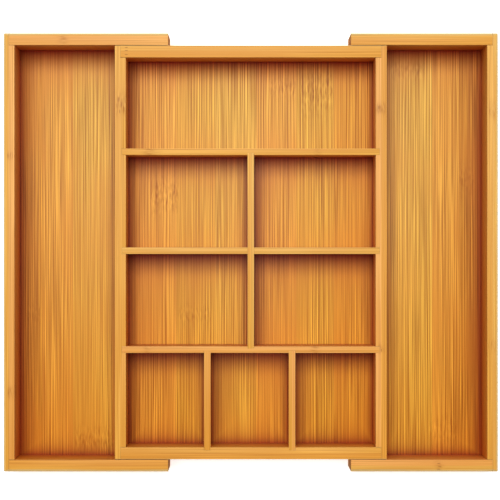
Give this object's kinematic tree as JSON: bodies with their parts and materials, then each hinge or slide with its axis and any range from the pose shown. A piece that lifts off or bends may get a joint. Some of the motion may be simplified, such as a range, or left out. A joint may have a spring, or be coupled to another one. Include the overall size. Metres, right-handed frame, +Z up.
{
  "type": "drawer organizer insert",
  "caption": "Expandable bamboo drawer organizer: a divided centre tray with a wing tray that slides out of each side.",
  "frame": {"origin": "middle of the underside, with both wings pulled out to their stops", "axes": "+X to the right along the way the wings slide, +Y from the row of third-width compartments at the front to the full-width compartment at the back, +Z up"},
  "size_m": [0.495, 0.439, 0.058],
  "materials": {
    "bamboo_wall": "satin clear-lacquered bamboo, fine straight grain along each wall",
    "bamboo_divider": "satin clear-lacquered bamboo, fine straight grain along each divider",
    "bamboo_floor": "satin clear-lacquered bamboo panel, glued strips running front to back",
    "bamboo_key": "smooth waxed bamboo"
  },
  "bodies": {
    "center_tray": {"center_left_wall": "bamboo_wall", "center_right_wall": "bamboo_wall", "center_back_wall": "bamboo_wall", "center_front_wall": "bamboo_wall", "center_floor_panel": "bamboo_floor", "back_cross_divider": "bamboo_divider", "middle_cross_divider": "bamboo_divider", "front_cross_divider": "bamboo_divider", "mid_divider": "bamboo_divider", "front_left_partition": "bamboo_divider", "front_right_partition": "bamboo_divider"},
    "left_wing": {"left_wing_side_wall": "bamboo_wall", "left_wing_back_wall": "bamboo_wall", "left_wing_front_wall": "bamboo_wall", "left_wing_floor_panel": "bamboo_floor", "left_back_slide_key": "bamboo_key", "left_front_slide_key": "bamboo_key"},
    "right_wing": {"right_wing_side_wall": "bamboo_wall", "right_wing_back_wall": "bamboo_wall", "right_wing_front_wall": "bamboo_wall", "right_wing_floor_panel": "bamboo_floor", "right_back_slide_key": "bamboo_key", "right_front_slide_key": "bamboo_key"}
  },
  "joints": [
    {"name": "left_wing_slide", "type": "slide", "parent": "center_tray", "child": "left_wing", "axis": [1, 0, 0], "range_m": [0, 0.082]},
    {"name": "right_wing_slide", "type": "slide", "parent": "center_tray", "child": "right_wing", "axis": [-1, 0, 0], "range_m": [0, 0.0995]}
  ]
}
